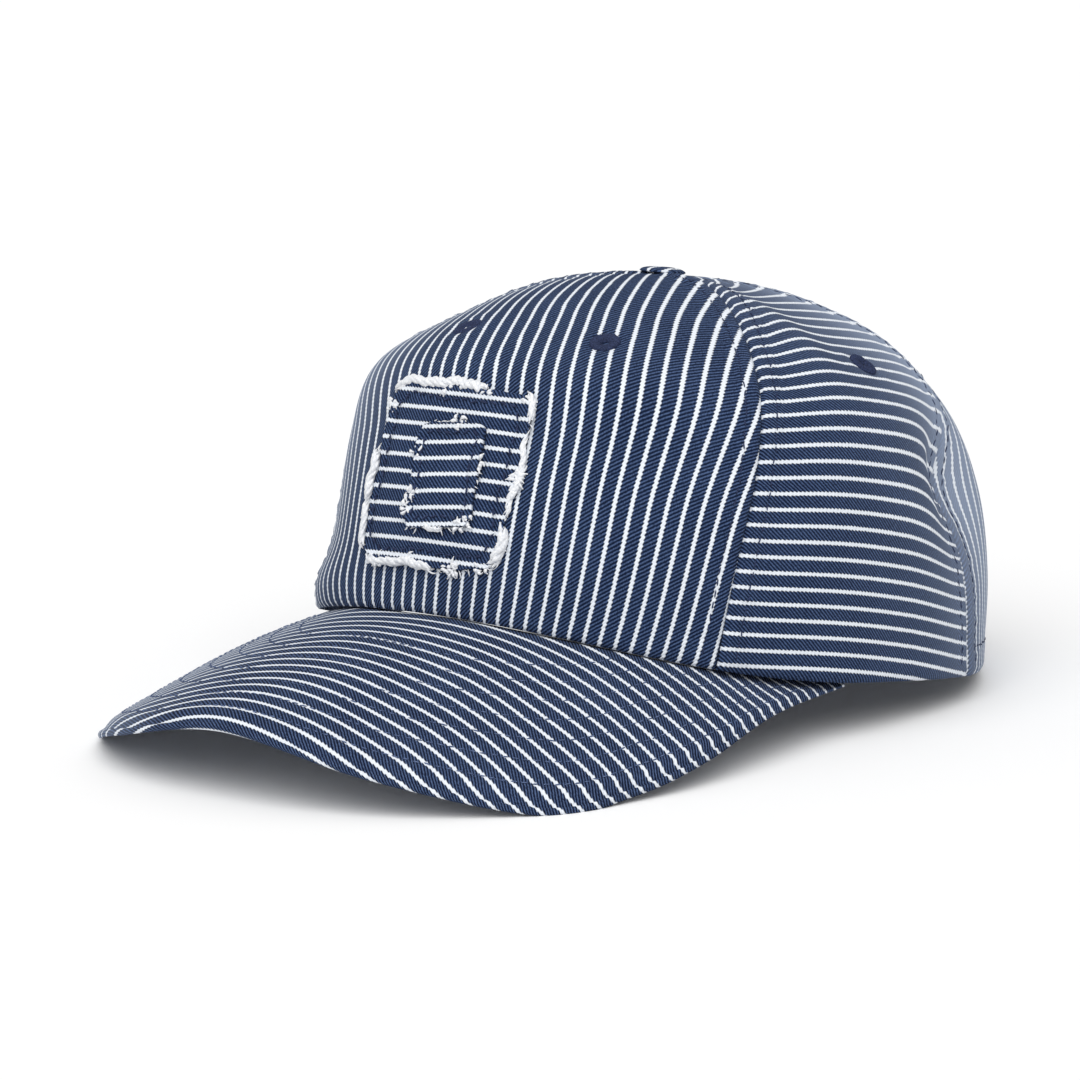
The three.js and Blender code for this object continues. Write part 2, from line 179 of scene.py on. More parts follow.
def buildMesh(name, points, faces, materials, uv=None, fadeAndSheen=None, materialIndex=None):
    mesh = bpy.data.meshes.new(name)
    mesh.from_pydata(toFrame(points).tolist(), [], faces.tolist())
    for material in materials:
        mesh.materials.append(material)
    if materialIndex is not None:
        mesh.polygons.foreach_set("material_index", materialIndex.astype(np.int32))
    mesh.polygons.foreach_set("use_smooth", np.ones(len(mesh.polygons), bool))
    if uv is not None:
        corner = np.empty(len(mesh.loops), np.int32)
        mesh.loops.foreach_get("vertex_index", corner)
        layer = mesh.uv_layers.new(name="cloth")
        layer.data.foreach_set("uv", uv[corner].astype(np.float32).ravel())
    if fadeAndSheen is not None:
        attribute = mesh.attributes.new("fadeAndSheen", "FLOAT", "POINT")
        attribute.data.foreach_set("value", fadeAndSheen.astype(np.float32).ravel())
    mesh.update()
    piece = bpy.data.objects.new(name, mesh)
    bpy.context.scene.collection.objects.link(piece)
    return piece


def gridFaces(rows, columns, start=0, closeColumns=False):
    last = columns if closeColumns else columns - 1
    row, column = np.meshgrid(np.arange(rows - 1), np.arange(last), indexing="ij")
    beside = (column + 1) % columns
    a = start + row * columns + column
    b = start + row * columns + beside
    c = start + (row + 1) * columns + beside
    d = start + (row + 1) * columns + column
    return np.stack([a, b, c, d], -1).reshape(-1, 4)


# A closed sheet from an outer and an inner grid of the same size. The inner face takes the second material.
def closedSheet(name, outer, inner, materials, uv, fadeAndSheen=None):
    rows, columns = outer.shape[:2]
    half = rows * columns
    front = gridFaces(rows, columns)
    back = gridFaces(rows, columns, half)[:, ::-1]
    label = np.arange(half).reshape(rows, columns)
    border = np.concatenate([label[0], label[1:, -1], label[-1, -2::-1], label[-2:0:-1, 0]])
    following = np.roll(border, -1)
    rim = np.stack([border, border + half, following + half, following], -1)
    points = np.concatenate([outer.reshape(-1, 3), inner.reshape(-1, 3)])
    faces = np.concatenate([front, back, rim])
    index = np.zeros(len(faces))
    index[len(front):len(front) + len(back)] = len(materials) - 1
    both = np.concatenate([uv.reshape(-1, 2)] * 2)
    fadeAndSheenValues = np.zeros(half) if fadeAndSheen is None else fadeAndSheen.reshape(-1)
    return buildMesh(name, points, faces, materials, both, np.r_[fadeAndSheenValues, fadeAndSheenValues], index)


# Geometry Nodes trees

def connect(tree, kind, inputs=None, output=0, **settings):
    node = tree.nodes.new(kind)
    for name, value in settings.items():
        setattr(node, name, value)
    for socket, value in (inputs or {}).items():
        if isinstance(value, bpy.types.NodeSocket):
            tree.links.new(value, node.inputs[socket])
        else:
            node.inputs[socket].default_value = value
    return node.outputs[output]


def startTree(name, inputs):
    tree = bpy.data.node_groups.new(name, "GeometryNodeTree")
    tree.interface.new_socket("Geometry", in_out="INPUT", socket_type="NodeSocketGeometry")
    for label, kind in inputs.items():
        tree.interface.new_socket(label, in_out="INPUT", socket_type=kind)
    tree.interface.new_socket("Geometry", in_out="OUTPUT", socket_type="NodeSocketGeometry")
    return tree, tree.nodes.new("NodeGroupInput")


def endTree(tree, geometry, material):
    smooth = connect(tree, "GeometryNodeSetShadeSmooth", {"Geometry": geometry})
    dressed = connect(tree, "GeometryNodeSetMaterial", {"Geometry": smooth, "Material": material})
    last = tree.nodes.new("NodeGroupOutput")
    tree.links.new(dressed, last.inputs["Geometry"])
    return tree


# One long rounded stitch on every point, turned by the point's own "turn".
def stitchTree():
    tree, start = startTree("threadStitches", {"Size": "NodeSocketVector", "Thread": "NodeSocketMaterial"})
    bead = connect(tree, "GeometryNodeMeshUVSphere", {"Segments": 6, "Rings": 4, "Radius": 0.5})
    turn = connect(tree, "GeometryNodeInputNamedAttribute", {"Name": "turn"}, data_type="FLOAT_VECTOR")
    rotation = connect(tree, "FunctionNodeEulerToRotation", {"Euler": turn})
    placed = connect(tree, "GeometryNodeInstanceOnPoints", {
        "Points": start.outputs["Geometry"], "Instance": bead, "Rotation": rotation,
        "Scale": start.outputs["Size"]})
    real = connect(tree, "GeometryNodeRealizeInstances", {"Geometry": placed})
    return endTree(tree, real, start.outputs["Thread"])


# A round yarn along every polyline, as thick as its points' "thickness".
def yarnTree():
    tree, start = startTree("looseYarns", {"Sides": "NodeSocketInt", "Thread": "NodeSocketMaterial"})
    curve = connect(tree, "GeometryNodeMeshToCurve", {"Mesh": start.outputs["Geometry"]})
    thick = connect(tree, "GeometryNodeInputNamedAttribute", {"Name": "thickness"}, data_type="FLOAT")
    ring = connect(tree, "GeometryNodeCurvePrimitiveCircle", {
        "Resolution": start.outputs["Sides"], "Radius": 1.0})
    tube = connect(tree, "GeometryNodeCurveToMesh", {
        "Curve": curve, "Profile Curve": ring, "Scale": thick, "Fill Caps": True})
    real = connect(tree, "GeometryNodeRealizeInstances", {"Geometry": tube})
    return endTree(tree, real, start.outputs["Thread"])


# Runs a tree on a piece's mesh and keeps the result as its plain mesh.
def growWith(piece, tree, values):
    modifier = piece.modifiers.new(tree.name, "NODES")
    modifier.node_group = tree
    for item in tree.interface.items_tree:
        if item.in_out == "INPUT" and item.name in values:
            modifier[item.identifier] = values[item.name]
    bpy.context.view_layer.update()
    evaluated = piece.evaluated_get(bpy.context.evaluated_depsgraph_get())
    grown = bpy.data.meshes.new_from_object(evaluated)
    piece.modifiers.remove(modifier)
    bare = piece.data
    piece.data = grown
    bpy.data.meshes.remove(bare)
    return piece


stitchNodes = stitchTree()
yarnNodes = yarnTree()
stitchRows = {}


# Points along a line at even steps, with the directions along it and out of the cloth.
def evenly(line, normals, pitch, inset=0.0):
    length = np.r_[0, np.cumsum(np.linalg.norm(np.diff(line, axis=0), axis=-1))]
    count = max(int((length[-1] - 2 * inset) / pitch), 1)
    at = inset + (np.arange(count) + 0.5) * (length[-1] - 2 * inset) / count
    place = np.stack([np.interp(at, length, line[:, axis]) for axis in range(3)], -1)
    ahead = np.stack([np.interp(at + 0.3, length, line[:, axis]) for axis in range(3)], -1)
    behind = np.stack([np.interp(at - 0.3, length, line[:, axis]) for axis in range(3)], -1)
    out = unit(np.stack([np.interp(at, length, normals[:, axis]) for axis in range(3)], -1))
    return place, unit(ahead - behind), out


def addStitches(group, line, normals, pitch, inset=0.0, sway=0.12):
    place, along, out = evenly(line, normals, pitch, inset)
    across = unit(np.cross(out, along))
    along = unit(along + across * chance.normal(0, sway, (len(place), 1)))
    place = place + out * stitchLift + across * chance.normal(0, 0.08, (len(place), 1))
    stitchRows.setdefault(group, []).append((place, along, out))


def turnsOf(along, out):
    origin = toFrame(np.zeros(3))
    x = unit(toFrame(along) - origin)
    z = unit(toFrame(out) - origin)
    y = unit(np.cross(z, x))
    z = np.cross(x, y)
    around = np.arctan2(y[:, 2], z[:, 2])
    dip = np.arcsin(np.clip(-x[:, 2], -1, 1))
    heading = np.arctan2(x[:, 1], x[:, 0])
    return np.stack([around, dip, heading], -1)


def buildStitches(name, group, size, thread):
    place, along, out = (np.concatenate(parts) for parts in zip(*stitchRows[group]))
    piece = buildMesh(name, place, np.zeros((0, 3), int), [])
    attribute = piece.data.attributes.new("turn", "FLOAT_VECTOR", "POINT")
    attribute.data.foreach_set("vector", turnsOf(along, out).astype(np.float32).ravel())
    growWith(piece, stitchNodes, {"Size": [part / 1000 for part in size], "Thread": thread})
    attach(piece, "root")
    return piece


def buildYarns(name, lines, radii, thread):
    points = np.concatenate(lines)
    edges = []
    start = 0
    for line in lines:
        edges += [(start + step, start + step + 1) for step in range(len(line) - 1)]
        start += len(line)
    mesh = bpy.data.meshes.new(name)
    mesh.from_pydata(toFrame(points).tolist(), edges, [])
    attribute = mesh.attributes.new("thickness", "FLOAT", "POINT")
    attribute.data.foreach_set("value", (np.concatenate(radii) / 1000).astype(np.float32))
    piece = bpy.data.objects.new(name, mesh)
    bpy.context.scene.collection.objects.link(piece)
    growWith(piece, yarnNodes, {"Sides": 5, "Thread": thread})
    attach(piece, "root")
    return piece


# Materials

# Indigo twill with white warp stripes. The "cloth" map is in millimetres: across the stripes, then along.
def denimMaterial(name, look):
    material = bpy.data.materials.new(name)
    material.use_nodes = True
    tree = material.node_tree
    shader = tree.nodes["Principled BSDF"]
    place = connect(tree, "ShaderNodeUVMap", output="UV", uv_map="cloth")
    wobble = connect(tree, "ShaderNodeTexNoise", {"Vector": place, "Scale": 0.8, "Detail": 3.0})
    across = connect(tree, "ShaderNodeSeparateXYZ", {0: place}, output="X")
    along = connect(tree, "ShaderNodeSeparateXYZ", {0: place}, output="Y")
    shift = connect(tree, "ShaderNodeMath", {0: wobble, 1: 0.34}, operation="MULTIPLY")
    moved = connect(tree, "ShaderNodeMath", {0: across, 1: shift}, operation="ADD")
    leaning = connect(tree, "ShaderNodeMath", {0: moved, 1: look["lean"]}, operation="MULTIPLY")
    slant = connect(tree, "ShaderNodeMath", {0: leaning, 1: along}, operation="SUBTRACT")
    phase = connect(tree, "ShaderNodeMath", {0: slant, 1: 2 * math.pi / look["twill"]},
                    operation="MULTIPLY")
    rise = connect(tree, "ShaderNodeMath", {0: phase}, operation="SINE")
    twill = connect(tree, "ShaderNodeMath", {0: rise, 1: 0.5, 2: 0.5}, operation="MULTIPLY_ADD")
    distance = connect(tree, "ShaderNodeMath", {0: moved, 1: look["pitch"] / 2}, operation="PINGPONG")
    jag = connect(tree, "ShaderNodeMath", {0: rise, 1: look["jag"], 2: look["line"] / 2},
                  operation="MULTIPLY_ADD")
    inside = connect(tree, "ShaderNodeMath", {0: jag, 1: distance}, operation="SUBTRACT")
    stripe = connect(tree, "ShaderNodeMapRange", {"Value": inside, "From Min": -0.1, "From Max": 0.1})
    yarn = connect(tree, "ShaderNodeMapping", {"Vector": place, "Scale": (5.0, 0.9, 1.0)})
    streak = connect(tree, "ShaderNodeTexNoise", {"Vector": yarn, "Scale": 1.0, "Detail": 2.0})
    speck = connect(tree, "ShaderNodeTexNoise", {"Vector": place, "Scale": 2.4, "Detail": 2.0})
    patchy = connect(tree, "ShaderNodeTexNoise", {"Vector": place, "Scale": 0.06, "Detail": 3.0})
    fadeAndSheen = connect(tree, "ShaderNodeAttribute", output="Fac", attribute_name="fadeAndSheen")
    relief = connect(tree, "ShaderNodeMath", {0: twill, 1: streak}, operation="MULTIPLY")
    contrast = connect(tree, "ShaderNodeMapRange", {
        "Value": relief, "From Min": 0.14, "From Max": 0.56, "To Min": 0.0, "To Max": look["contrast"]})
    light = connect(tree, "ShaderNodeMapRange", {
        "Value": speck, "From Min": 0.35, "From Max": 0.75, "To Min": -0.2, "To Max": 0.24})
    even = connect(tree, "ShaderNodeMapRange", {
        "Value": patchy, "From Min": 0.3, "From Max": 0.7, "To Min": -0.06, "To Max": 0.08})
    mottled = connect(tree, "ShaderNodeMath", {0: light, 1: even}, operation="ADD")
    tone = connect(tree, "ShaderNodeMath", {0: contrast, 1: mottled}, operation="ADD", use_clamp=True)
    indigo = connect(tree, "ShaderNodeMix", {"Factor": tone, 6: look["dark"], 7: look["pale"]},
                     output=2, data_type="RGBA")
    # Mixed towards the pale colour by the per-point values: washed-out fading and painted sheen.
    fadeAndSheenShare = connect(tree, "ShaderNodeMath", {0: fadeAndSheen, 1: look["fadeAndSheenStrength"]},
                     operation="MULTIPLY", use_clamp=True)
    navy = connect(tree, "ShaderNodeMix", {"Factor": fadeAndSheenShare, 6: indigo, 7: look["fadedAndSheen"]},
                   output=2, data_type="RGBA")
    dull = connect(tree, "ShaderNodeMapRange", {
        "Value": speck, "From Min": 0.4, "From Max": 0.8, "To Min": 0.0, "To Max": 0.3})
    white = connect(tree, "ShaderNodeMix", {"Factor": dull, 6: look["white"], 7: look["grey"]},
                    output=2, data_type="RGBA")
    cloth = connect(tree, "ShaderNodeMix", {"Factor": stripe, 6: navy, 7: white},
                    output=2, data_type="RGBA")
    bulk = connect(tree, "ShaderNodeMath", {0: stripe, 1: 0.5, 2: relief}, operation="MULTIPLY_ADD")
    fuzz = connect(tree, "ShaderNodeMath", {0: speck, 1: 0.5, 2: bulk}, operation="MULTIPLY_ADD")
    bump = connect(tree, "ShaderNodeBump", {"Strength": 0.7, "Distance": look["depth"], "Height": fuzz},
                   output="Normal")
    tree.links.new(cloth, shader.inputs["Base Color"])
    tree.links.new(bump, shader.inputs["Normal"])
    shader.inputs["Roughness"].default_value = 0.88
    shader.inputs["IOR"].default_value = 1.46
    shader.inputs["Specular IOR Level"].default_value = 0.06
    shader.inputs["Sheen Weight"].default_value = look["sheen"]
    shader.inputs["Sheen Roughness"].default_value = 0.6
    return material


# Cotton thread or yarn, with its twist as fine slanted ridges.
def threadMaterial(name, dark, pale, twist):
    material = bpy.data.materials.new(name)
    material.use_nodes = True
    tree = material.node_tree
    shader = tree.nodes["Principled BSDF"]
    place = connect(tree, "ShaderNodeTexCoord", output="Object")
    grain = connect(tree, "ShaderNodeTexNoise", {"Vector": place, "Scale": twist, "Detail": 3.0})
    tone = connect(tree, "ShaderNodeMapRange", {"Value": grain, "From Min": 0.35, "From Max": 0.7})
    tint = connect(tree, "ShaderNodeMix", {"Factor": tone, 6: dark, 7: pale}, output=2, data_type="RGBA")
    bump = connect(tree, "ShaderNodeBump", {"Strength": 0.6, "Distance": 0.0001, "Height": grain},
                   output="Normal")
    tree.links.new(tint, shader.inputs["Base Color"])
    tree.links.new(bump, shader.inputs["Normal"])
    shader.inputs["Roughness"].default_value = 0.75
    shader.inputs["IOR"].default_value = 1.46
    shader.inputs["Specular IOR Level"].default_value = 0.3
    return material


# Brushed steel, drawn along the buckle's width.
def brushedSteel():
    material = bpy.data.materials.new("brushedSteel")
    material.use_nodes = True
    tree = material.node_tree
    shader = tree.nodes["Principled BSDF"]
    place = connect(tree, "ShaderNodeTexCoord", output="Object")
    drawn = connect(tree, "ShaderNodeMapping", {"Vector": place, "Scale": (120.0, 6000.0, 6000.0)})
    grain = connect(tree, "ShaderNodeTexNoise", {"Vector": drawn, "Scale": 1.0, "Detail": 3.0})
    rough = connect(tree, "ShaderNodeMapRange", {"Value": grain, "To Min": 0.24, "To Max": 0.42})
    bump = connect(tree, "ShaderNodeBump", {"Strength": 0.15, "Distance": 0.00002, "Height": grain},
                   output="Normal")
    tree.links.new(rough, shader.inputs["Roughness"])
    tree.links.new(bump, shader.inputs["Normal"])
    shader.inputs["Base Color"].default_value = colour("#b9bcc0")
    shader.inputs["Metallic"].default_value = 1.0
    return material


# Of these colours, the pale blue-grey #a6b3ca is what fading and painted sheen mix the indigo towards.
denimLook = {
    "pitch": 4.2, "line": 0.98, "jag": 0.13, "twill": 1.15, "lean": 1.0, "contrast": 1.08, "fadeAndSheenStrength": 0.62,
    "depth": 0.00025, "sheen": 0.02, "dark": colour("#0f1a31"), "pale": colour("#4c6086"),
    "fadedAndSheen": colour("#a6b3ca"), "white": colour("#e8edf4"), "grey": colour("#c9d1df"),
}
# Washed cotton denim with white stripes, its lighter reverse, the peak's coarser cut and the patches' cloth
hickoryDenim = denimMaterial("hickoryDenim", denimLook)
denimReverse = denimMaterial("denimReverse", denimLook | {
    "line": 0.8, "contrast": 0.5, "dark": colour("#5d6783"), "pale": colour("#aab2c4")})
peakDenim = denimMaterial("peakDenim", denimLook | {
    "pitch": 4.46, "lean": 1.35, "twill": 1.23, "dark": colour("#0d152a"), "pale": colour("#52658a")})
patchDenim = denimMaterial("patchDenim", denimLook | {"fadeAndSheenStrength": 0.1})
# Dark sewing thread, the same thread faded on the peak, loose white cotton and the buckle's steel
navyThread = threadMaterial("navyThread", colour("#141b33"), colour("#37446a"), 3000.0)
fadedThread = threadMaterial("fadedThread", colour("#33405f"), colour("#6b7da3"), 3000.0)
frayedCotton = threadMaterial("frayedCotton", colour("#d9dce2"), colour("#fafafa"), 1800.0)
steel = brushedSteel()


# The panels of the crown

# The flat pattern of a grid of points: the grid is laid in the plane and its lengths pull it into shape.
def flatPattern(points, steps=2500):
    rows, columns = points.shape[:2]
    middle = columns // 2
    climb = np.r_[0, np.cumsum(np.linalg.norm(np.diff(points[:, middle], axis=0), axis=-1))]
    across = np.cumsum(np.linalg.norm(np.diff(points, axis=1), axis=-1), axis=1)
    across = np.concatenate([np.zeros((rows, 1)), across], 1)
    across -= across[:, middle:middle + 1]
    flat = np.stack([across, np.repeat(climb[:, None], columns, 1)], -1)
    ties = []
    weight = np.zeros((rows, columns))
    neighbours = ((0, 1, 1), (1, 0, 1), (1, 1, 0.5), (1, -1, 0.5), (0, 2, 0.3), (2, 0, 0.3))
    for down, beside, strength in neighbours:
        low = (slice(0, rows - down), slice(max(-beside, 0), columns - max(beside, 0)))
        high = (slice(down, rows), slice(max(beside, 0), columns + min(beside, 0)))
        ties.append((low, high, np.linalg.norm(points[high] - points[low], axis=-1), strength))
        weight[low] += strength
        weight[high] += strength
    speed = np.zeros_like(flat)
    for _ in range(steps):
        pull = np.zeros_like(flat)
        for low, high, length, strength in ties:
            gap = flat[high] - flat[low]
            now = np.linalg.norm(gap, axis=-1) + 1e-9
            force = (strength * (now - length) / now)[..., None] * gap
            pull[low] += force
            pull[high] -= force
        speed = 0.9 * speed + 0.55 * pull / weight[..., None]
        flat = flat + speed
    return flat


def turned(flat, upright, origin):
    x, y = upright / np.linalg.norm(upright)
    return (flat - origin) @ np.array([[y, x], [-x, y]])


# Shares from 0 to 1, closer together near both ends.
def closerShares(count, gather):
    even = np.linspace(0, 1, count)
    return (1 - gather) * even + gather * (0.5 - 0.5 * np.cos(np.pi * even))


def panelPlaces(bottom, left, right, s, t):
    across = s[None, :, None]
    up = t[:, None, None]
    low = bottom(s)
    start = left(t)
    end = right(t)
    sides = (1 - across) * start[:, None] + across * end[:, None]
    straight = (1 - across) * low[0] + across * low[-1]
    places = sides + (1 - up) * (low[None] - straight)
    return places[..., 0], places[..., 1]


def alongGrid(points, axis):
    length = np.cumsum(np.linalg.norm(np.diff(points, axis=axis), axis=-1), axis=axis)
    return np.concatenate([np.zeros_like(np.take(length, [0], axis)), length], axis)


def seamRelief(distance, along, shift):
    valley = -1.0 * np.exp(-(distance / 0.7) ** 2)
    ridge = 0.6 * (1 - easeBetween(4.4, 6.6, distance))
    groove = -0.35 * np.exp(-((distance - seamInset) / 0.55) ** 2)
    pucker = 0.32 * np.exp(-((distance - 5.5) / 4.5) ** 2) * wave(along, shift)
    return valley + ridge + groove + pucker


def softness(across, along, shift):
    return (0.3 * np.sin(across / 7.1 + 0.4 * np.sin(along / 11) + shift) * np.sin(along / 15.3 + shift)
            + 0.22 * np.sin(across / 17 - along / 23 + 2 * shift))


# Ease of the stripes: how far, in millimetres, the cloth's lines lean from the flat pattern's, from the
# hem to the button. A front panel leans sideways and a side panel dips.
frontEase = {"far": [-6, -3, 5, 22, 38], "near": [-1.5, -0.5, 1.5, 16, 31]}
sideEase = {"front": [-6, -3, -1, 2, 6], "back": [0, 2, 1, -5, -11]}
# The stripes of a side panel sink into the crease beside its back seam.
creaseDip = {"depth": 4, "shareSpread": 0.2, "rise": 0.31, "riseSpread": 0.13}

panels = [
    {"name": "front_panel", "columns": 150, "rows": 110, "from": seamAt("front", -1), "to": seamAt("front"),
     "lay": "upright", "seed": 0.3},
    {"name": "side_panel_left", "columns": 90, "rows": 110, "from": seamAt("front"), "to": seamAt("side"),
     "lay": "level", "seed": 1.7},
    {"name": "side_panel_right", "columns": 90, "rows": 110, "from": seamAt("side", -1),
     "to": seamAt("front", -1), "lay": "levelMirrored", "seed": 2.9},
    {"name": "back_panel_left", "columns": 90, "rows": 100, "from": seamAt("side"),
     "to": lambda rise: np.pi + 0 * rise, "lay": "back", "opening": 1, "seed": 4.2},
    {"name": "back_panel_right", "columns": 90, "rows": 100, "from": lambda rise: -np.pi + 0 * rise,
     "to": seamAt("side", -1), "lay": "back", "opening": -1, "seed": 5.6},
]
opening = {"halfWidth": 34, "height": 42, "straight": 8}
eyelets = [
    {"name": "front", "azimuth": 20.4, "rise": 0.6},
    {"name": "side", "azimuth": 97, "rise": 0.6},
    {"name": "back", "azimuth": 145, "rise": 0.6},
]


# The lower edge of a back panel in azimuth and rise: along the hem, then up the arch to its middle.
def archedBottom(panel):
    corner = math.asin(opening["halfWidth"] / crown["halfWidth"])
    seam = float(seamAt("side")(0.0))
    hemShare = 0.42
    angle = np.linspace(0, np.pi / 2, 60)
    x = opening["halfWidth"] * np.cos(angle)
    z = opening["straight"] + (opening["height"] - opening["straight"]) * np.sin(angle)
    rise = riseAtHeight(z)
    wide = crown["halfWidth"] * sectionAt("width", rise)
    azimuth = np.pi - np.arcsin(np.clip(x / wide, 0, 1))
    length = np.r_[0, np.cumsum(np.hypot(np.diff(azimuth * 80), np.diff(z)))] + opening["straight"]
    share = hemShare + (1 - hemShare) * length / length[-1]
    share = np.r_[0, hemShare, share]
    azimuth = np.r_[seam, np.pi - corner, azimuth]
    rise = np.r_[0, 0, rise]

    def bottom(s):
        if panel["opening"] > 0:
            return np.stack([np.interp(s, share, azimuth), np.interp(s, share, rise)], -1)
        return np.stack([-np.interp(1 - s, share, azimuth), np.interp(1 - s, share, rise)], -1)
    return bottom


def panelGrid(panel, s, t):
    low = riseAtHeight(opening["height"])

    def left(t):
        rise = low + (panelTop - low) * t if panel.get("opening") == -1 else panelTop * t
        return np.stack([panel["from"](rise), rise], -1)

    def right(t):
        rise = low + (panelTop - low) * t if panel.get("opening") == 1 else panelTop * t
        return np.stack([panel["to"](rise), rise], -1)

    def bottom(s):
        ends = np.stack([left(np.zeros(1))[0], right(np.zeros(1))[0]])
        return ends[0] * (1 - s[:, None]) + ends[1] * s[:, None]
    return panelPlaces(archedBottom(panel) if panel.get("opening") else bottom, left, right, s, t)


# A back panel's stripes keep their distance to a line that leans about half as much as its front seam.
def seamMap(panel, azimuth, rise):
    seam = panel["opening"] * (0.55 * seamAt("side")(0 * rise) + 0.45 * seamAt("side")(rise))
    steps = np.linspace(0, 1, 25)[:, None, None]
    path = crownPoint(seam + (azimuth - seam) * steps, rise + 0 * steps)
    across = np.linalg.norm(np.diff(path, axis=0), axis=-1).sum(0)
    across = across * np.sign((azimuth - seam) * panel["opening"])
    return np.stack([panel["opening"] * across, np.interp(rise, riseSteps, middleClimb)], -1)


def stripeMap(panel, s, t):
    if panel["lay"] == "back":
        return seamMap(panel, *panelGrid(panel, s, t))
    coarse = np.linspace(0, 1, 33)
    azimuth, rise = panelGrid(panel, coarse, coarse)
    flat = flatPattern(crownPoint(azimuth, rise))
    if panel["lay"] == "upright":
        flat = turned(flat, flat[20, 16] - flat[2, 16], flat[0, 16])
    else:
        hem = flat[1, -4] - flat[1, 3]
        flat = turned(flat, np.array([-hem[1], hem[0]]), flat[0, 16])
    fine = readRows(flat, t)
    return readRows(fine.transpose(1, 0, 2), s).transpose(1, 0, 2)


def clothMap(panel, flat, s, rise):
    x, y = flat[..., 0], flat[..., 1]
    up = rise / panelTop
    if panel["lay"] == "upright":
        lean = (1 - s) * readRows(frontEase["far"], up) + s * readRows(frontEase["near"], up)
        return np.stack([x + lean, y], -1)
    if panel["lay"].startswith("level"):
        toFront = s if panel["lay"] == "levelMirrored" else 1 - s
        dip = toFront * readRows(sideEase["front"], up) + (1 - toFront) * readRows(sideEase["back"], up)
        aside = toFront / creaseDip["shareSpread"]
        above = (up - creaseDip["rise"]) / creaseDip["riseSpread"]
        return np.stack([y + dip + creaseDip["depth"] * np.exp(-aside ** 2 - above ** 2), -x], -1)
    return np.stack([x, y], -1)


def railAt(points, distance, target):
    line = []
    for row in range(len(points)):
        reach = distance[row]
        if reach[-1] < reach[0]:
            line.append([np.interp(target, reach[::-1], points[row, ::-1, axis]) for axis in range(3)])
        else:
            line.append([np.interp(target, reach, points[row, :, axis]) for axis in range(3)])
    return np.array(line)


def gridNormals(points):
    return unit(np.cross(np.gradient(points, axis=1), np.gradient(points, axis=0)))


seamInset = 4.3
hemInset = 7.5
seamPitch = 2.9

# Where the cloth is painted paler, in azimuth degrees and rise: washed-out fading, and painted sheen where
# the cloth turns edge-on (azimuth -52) and on the top (azimuth 88).
fadeAndSheenSpots = [
    {"azimuth": -52, "rise": 0.35, "azimuthSpread": 16, "riseSpread": 0.4, "amount": 1.1},
    {"azimuth": 135, "rise": 0.4, "azimuthSpread": 27, "riseSpread": 0.55, "amount": 1.6},
    {"azimuth": 88, "rise": 0.85, "azimuthSpread": 24, "riseSpread": 0.2, "amount": 0.2},
    {"azimuth": 215, "rise": 0.4, "azimuthSpread": 30, "riseSpread": 0.4, "amount": 0.6},
]


def fadeAndSheenAt(azimuth, rise):
    fadedAndSheen = 0 * azimuth
    for fadeAndSheenSpot in fadeAndSheenSpots:
        turnAway = (np.degrees(azimuth) - fadeAndSheenSpot["azimuth"] + 180) % 360 - 180
        aside = turnAway / fadeAndSheenSpot["azimuthSpread"]
        above = (rise - fadeAndSheenSpot["rise"]) / fadeAndSheenSpot["riseSpread"]
        fadedAndSheen = fadedAndSheen + fadeAndSheenSpot["amount"] * np.exp(-aside ** 2 - above ** 2)
    return np.minimum(fadedAndSheen, 1)


for panel in panels:
    s = closerShares(panel["columns"], 0.62)
    t = closerShares(panel["rows"], 0.35)
    azimuth, rise = panelGrid(panel, s, t)
    base = crownPoint(azimuth, rise)
    normal = crownNormal(azimuth, rise)
    fromLeft = alongGrid(base, 1)
    fromRight = fromLeft[:, -1:] - fromLeft
    fromHem = alongGrid(base, 0)
    flat = stripeMap(panel, s, t)
    narrow = easeBetween(2, 26, fromLeft[:, -1:])
    over = seamRelief(fromLeft, fromHem, panel["seed"]) + seamRelief(fromRight, fromHem, panel["seed"] + 9)
    over = over * narrow + softness(flat[..., 0], flat[..., 1], panel["seed"]) * narrow
    inward = -0.7 * np.exp(-(fromHem / 0.8) ** 2)
    if panel["lay"] == "back":
        hemBand = 0.25 * (1 - easeBetween(7, 9, fromHem)) - 0.2 * np.exp(-((fromHem - hemInset) / 0.5) ** 2)
        over = over + hemBand * narrow
    for eyelet in eyelets:
        for sign in (1, -1):
            turn = np.array(sign * math.radians(eyelet["azimuth"]))
            middle = crownPoint(turn, np.array(eyelet["rise"]))
            away = np.linalg.norm(base - middle, axis=-1)
            over = over - 0.5 * np.exp(-(away / 4.2) ** 2) + 0.25 * np.exp(-((away - 6.5) / 2) ** 2)
    outer = base + normal * (over + inward)[..., None]
    inner = base + normal * (np.minimum(over, 0.3) - crown["wall"] - 0.4 * inward)[..., None]
    # How much paler each point is painted: washed-out fading and painted sheen.
    fadeAndSheen = fadeAndSheenAt(azimuth, rise)
    uv = clothMap(panel, flat, np.repeat(s[None], len(t), 0), rise)
    piece = closedSheet(panel["name"] + "_cloth", outer, inner, [hickoryDenim, denimReverse], uv, fadeAndSheen)
    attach(piece, "root")
    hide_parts(panel["name"])
    outward = gridNormals(outer)
    for distance in (fromLeft, fromRight):
        rows = slice(3, int(len(t) * 0.93))
        line = railAt(outer[rows], distance[rows], seamInset)
        addStitches("seam", line, railAt(outward[rows], distance[rows], seamInset), seamPitch)
    if panel["lay"] == "back":
        columns = slice(3, -3)
        height = fromHem[:, columns].T
        line = railAt(outer[:, columns].transpose(1, 0, 2), height, hemInset)
        out = railAt(outward[:, columns].transpose(1, 0, 2), height, hemInset)
        addStitches("seam", line, out, seamPitch)
    print("built", panel["name"], outer.shape)


# The peak

